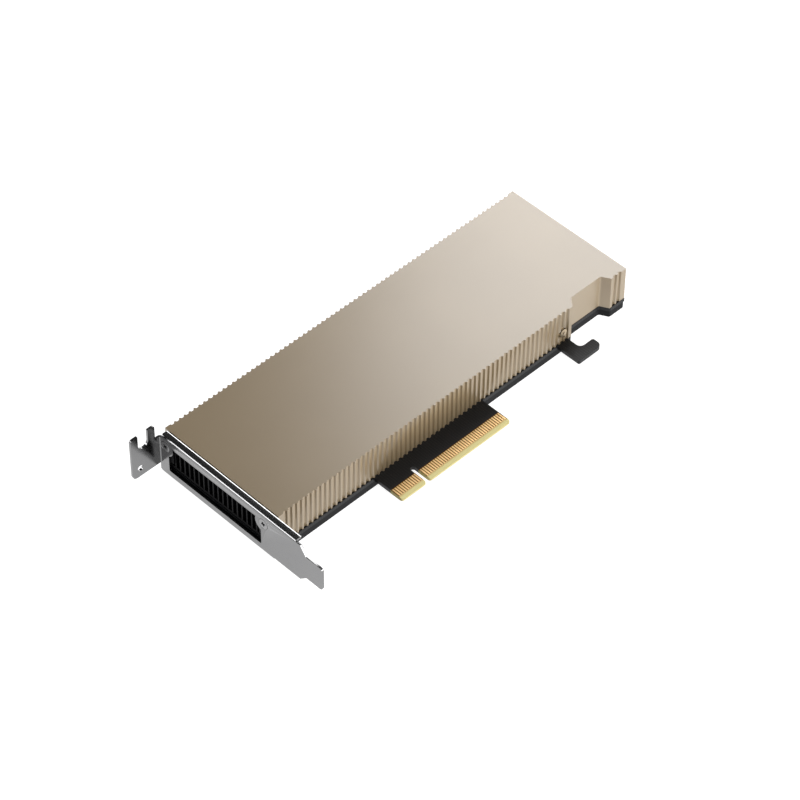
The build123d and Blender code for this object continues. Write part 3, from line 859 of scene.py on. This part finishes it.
class Fasteners:
    """All screws of the card, placed from the boxes of their nodes."""

    def __init__(self, workshop: Workshop) -> None:
        """Keeps the workshop at hand."""
        self.workshop = workshop

    def build(self) -> None:
        """Makes the three sets of screws."""
        self.bracket_screws().build(self.workshop)
        self.side_screws().build(self.workshop)
        self.rear_screws().build(self.workshop)

    def bracket_screws(self) -> ScrewSet:
        """Two countersunk screws in the bracket's face."""
        low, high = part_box("bracket_screws")
        head_mm, height_mm = 2.2, 0.8
        screw = CrossScrew(
            head_radius_mm=head_mm,
            head_height_mm=height_mm,
            shank_radius_mm=1.0,
            shank_length_mm=(high.x - low.x) / MM - height_mm,
            countersunk=True,
            recess_width_mm=0.85,
            recess_reach_mm=1.25,
        )
        z = (low.z + high.z) / 2
        turns_deg = (18.0, 40.0)
        places = zip((low.y + head_mm * MM, high.y - head_mm * MM), turns_deg)
        heads = tuple(((low.x, y, z), -1, turn) for y, turn in places)
        return ScrewSet("bracket_screws", "bracket_cross_screws", screw, Axis.ALONG, heads)

    def side_screws(self) -> ScrewSet:
        """One screw in a counterbore in each side wall."""
        low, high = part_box("cover_side_screws")
        screw = CrossScrew(
            head_radius_mm=1.75,
            head_height_mm=0.7,
            shank_radius_mm=1.0,
            shank_length_mm=4.81,
            recess_reach_mm=0.85,
        )
        x, z = (low.x + high.x) / 2, (low.z + high.z) / 2
        front_turn_deg, rear_turn_deg = 8.0, 30.0
        heads = (((x, low.y, z), -1, front_turn_deg), ((x, high.y, z), 1, rear_turn_deg))
        # Faces take the shell's dyed colour; flanks and recesses get painted shade
        dyed_with_painted_shade = ShadePaintedScrewSteel(face=(0.60, 0.49, 0.34), painted_shade=(0.05, 0.035, 0.02), roughness=0.45)
        return ScrewSet(
            "cover_side_screws", "side_cross_screws", screw, Axis.ACROSS, heads, Slot.SHELL, dyed_with_painted_shade
        )

    def rear_screws(self) -> ScrewSet:
        """Eight screws with their heads sunk in the backplate."""
        low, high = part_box("backplate_screws")
        height_mm, turn_step_deg = 0.8, 15.0
        screw = CrossScrew(
            head_radius_mm=1.9,
            head_height_mm=height_mm,
            shank_radius_mm=1.0,
            shank_length_mm=(high.z - low.z) / MM - height_mm,
        )
        centres = screw_centres("backplate_screws")
        heads = tuple(
            ((x, y, low.z), -1, turn_step_deg * index) for index, (x, y) in enumerate(centres)
        )
        return ScrewSet("backplate_screws", "rear_cross_screws", screw, Axis.UP, heads)


def screw_centres(node: str) -> list[tuple[float, float]]:
    """Middle of each upright screw of a node, seen from above.

    Args:
        node: CAD node that holds separate upright screws.

    Returns:
        One pair of X and Y for each screw, in metres.
    """
    build = bmesh.new()
    build.from_mesh(frame["nodes"][node].data)
    bmesh.ops.remove_doubles(build, verts=build.verts, dist=WELD_M)
    waiting = set(build.verts)
    centres = []
    while waiting:
        island = [waiting.pop()]
        for vert in island:
            for edge in vert.link_edges:
                other = edge.other_vert(vert)
                if other in waiting:
                    waiting.remove(other)
                    island.append(other)
        xs = [vert.co.x for vert in island]
        ys = [vert.co.y for vert in island]
        centres.append(((min(xs) + max(xs)) / 2, (min(ys) + max(ys)) / 2))
    build.free()
    return sorted(centres)


@dataclass(frozen=True)
class Studio:
    """Pale floor, pale surroundings, a dark ceiling and soft lamps."""

    floor_half_m: float = 6.0
    floor_colour: Colour = (0.45, 0.45, 0.45)
    floor_roughness: float = 0.9
    seen_glow: float = 0.93
    ceiling: float = 0.06
    horizon: float = 0.45
    horizon_span: tuple[float, float] = (0.05, 0.35)
    backdrop_top: float = 0.1

    def build(self) -> None:
        """Makes the floor, the world and the lamps."""
        self.floor()
        self.world()
        for lamp in LAMPS:
            lamp.build()

    def floor(self) -> bpy.types.Object:
        """Lays the floor under the card.

        Returns:
            The floor.
        """
        build = bmesh.new()
        bmesh.ops.create_grid(build, x_segments=1, y_segments=1, size=self.floor_half_m)
        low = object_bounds()[0][2]
        bmesh.ops.translate(build, verts=build.verts, vec=(0, 0, low))
        mesh = bpy.data.meshes.new("floor")
        build.to_mesh(mesh)
        build.free()
        floor = bpy.data.objects.new("floor", mesh)
        bpy.context.scene.collection.objects.link(floor)
        floor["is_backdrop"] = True
        recipe = Recipe("floor")
        shown = recipe.seen_by("Is Camera Ray", "Is Glossy Ray", "Is Transmission Ray")
        recipe.set(
            Base_Color=self.floor_colour,
            Roughness=self.floor_roughness,
            Specular_IOR_Level=0.0,
            Emission_Color=(1.0, 1.0, 1.0),
            Emission_Strength=recipe.maths("MULTIPLY", shown, self.seen_glow),
        )
        mesh.materials.append(recipe.material)
        return floor

    def world(self) -> None:
        """Sets the surroundings: white to the camera, and to metal at the horizon, darker overhead."""
        world = bpy.data.worlds.new("studio")
        bpy.context.scene.world = world
        world.use_nodes = True
        nodes = Nodes(world.node_tree)
        nodes.tree.nodes.clear()
        height = nodes.split(nodes.add("ShaderNodeTexCoord").outputs["Generated"])[2]
        sky = nodes.spread(height, *self.horizon_span, (self.horizon, self.ceiling))
        low = nodes.spread(height, 0.0, self.backdrop_top, (1.0, 0.0))
        mirrored = nodes.maths("MULTIPLY", nodes.seen_by("Is Glossy Ray", "Is Transmission Ray"), low)
        shown = nodes.maths("MAXIMUM", nodes.seen_by("Is Camera Ray"), mirrored)
        background = nodes.add("ShaderNodeBackground")
        nodes.feed(background.inputs["Color"], (1.0, 1.0, 1.0))
        nodes.feed(background.inputs["Strength"], nodes.maths("MAXIMUM", sky, shown))
        nodes.feed(nodes.add("ShaderNodeOutputWorld").inputs[0], background.outputs[0])


@dataclass(frozen=True)
class Softbox:
    """Rectangular lamp that faces a point of the card."""

    name: str
    place_mm: Point
    aim_mm: Point
    size_mm: tuple[float, float]
    glow: float

    def build(self) -> bpy.types.Object:
        """Hangs the lamp.

        Returns:
            The lamp.
        """
        light = bpy.data.lights.new(self.name, "AREA")
        light.shape = "RECTANGLE"
        light.size, light.size_y = (side * MM for side in self.size_mm)
        light.energy = self.glow * math.pi * light.size * light.size_y
        lamp = bpy.data.objects.new(self.name, light)
        bpy.context.scene.collection.objects.link(lamp)
        place, aim = Vector(self.place_mm) * MM, Vector(self.aim_mm) * MM
        turn = (aim - place).to_track_quat("-Z", "Y").to_matrix().to_4x4()
        lamp.matrix_world = Matrix.Translation(place) @ turn
        return lamp


LAMPS = (
    Softbox("far_softbox", (462.0, 290.0, 420.0), (100.0, 20.0, 0.0), (300.0, 300.0), 5.0),
    Softbox("back_panel", (-638.0, 432.0, 397.0), (-58.0, 40.0, 5.0), (300.0, 300.0), 5.5),
    Softbox("edge_strip", (634.0, 481.0, 390.0), (-58.0, 40.0, 5.0), (300.0, 150.0), 5.0),
    Softbox("overhead", (0.0, 0.0, 1000.0), (20.0, 30.0, 0.0), (800.0, 800.0), 1.1),
    Softbox("front_fill", (150.0, -760.0, 230.0), (80.0, 10.0, 5.0), (760.0, 450.0), 6.3),
)


@dataclass(frozen=True)
class Viewpoint:
    """Camera at the photograph's viewing angle."""

    aim_mm: Point = (19.07, 33.10, 0.0)
    distance_mm: float = 1131.0
    heading_deg: float = 45.36
    tilt_deg: float = 46.465
    roll_deg: float = 0.284
    lens_mm: float = 149.0
    sensor_mm: float = 36.0
    clip_m: tuple[float, float] = (0.05, 50.0)

    def build(self) -> bpy.types.Object:
        """Places the camera and makes it the scene's own.

        Returns:
            The camera.
        """
        data = bpy.data.cameras.new("camera")
        data.lens = self.lens_mm
        data.sensor_width = self.sensor_mm
        data.clip_start, data.clip_end = self.clip_m
        camera = bpy.data.objects.new("camera", data)
        bpy.context.scene.collection.objects.link(camera)
        heading, tilt = math.radians(self.heading_deg), math.radians(self.tilt_deg)
        flat = math.cos(tilt)
        view = Vector((flat * math.cos(heading), flat * math.sin(heading), -math.sin(tilt)))
        place = (Vector(self.aim_mm) - self.distance_mm * view) * MM
        turn = view.to_track_quat("-Z", "Y").to_matrix().to_4x4()
        roll = Matrix.Rotation(math.radians(self.roll_deg), 4, "Z")
        camera.matrix_world = Matrix.Translation(place) @ turn @ roll
        bpy.context.scene.camera = camera
        return camera


def main() -> None:
    """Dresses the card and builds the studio."""
    logging.basicConfig(level=logging.INFO, format="%(name)s %(message)s")
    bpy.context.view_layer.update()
    wardrobe = Wardrobe()
    workshop = Workshop(wardrobe)
    for part in frame["record"]["subparts"]:
        wardrobe.dress(frame["nodes"][part["node"]], Slot(part["material_slot"]))
        LOG.info("%s: %s", part["node"], part["material_slot"])
    DeburredShell("cover", "ribbed_shell", Slot.SHELL, edge_mm=0.1).build(workshop)
    FoldedBracket("bracket", "folded_bracket", Slot.BRACKET, edge_mm=0.08).build(workshop)
    Fasteners(workshop).build()
    Studio().build()
    Viewpoint().build()
    bpy.context.scene.view_settings.view_transform = "Standard"


if __name__ == "__main__":
    main()
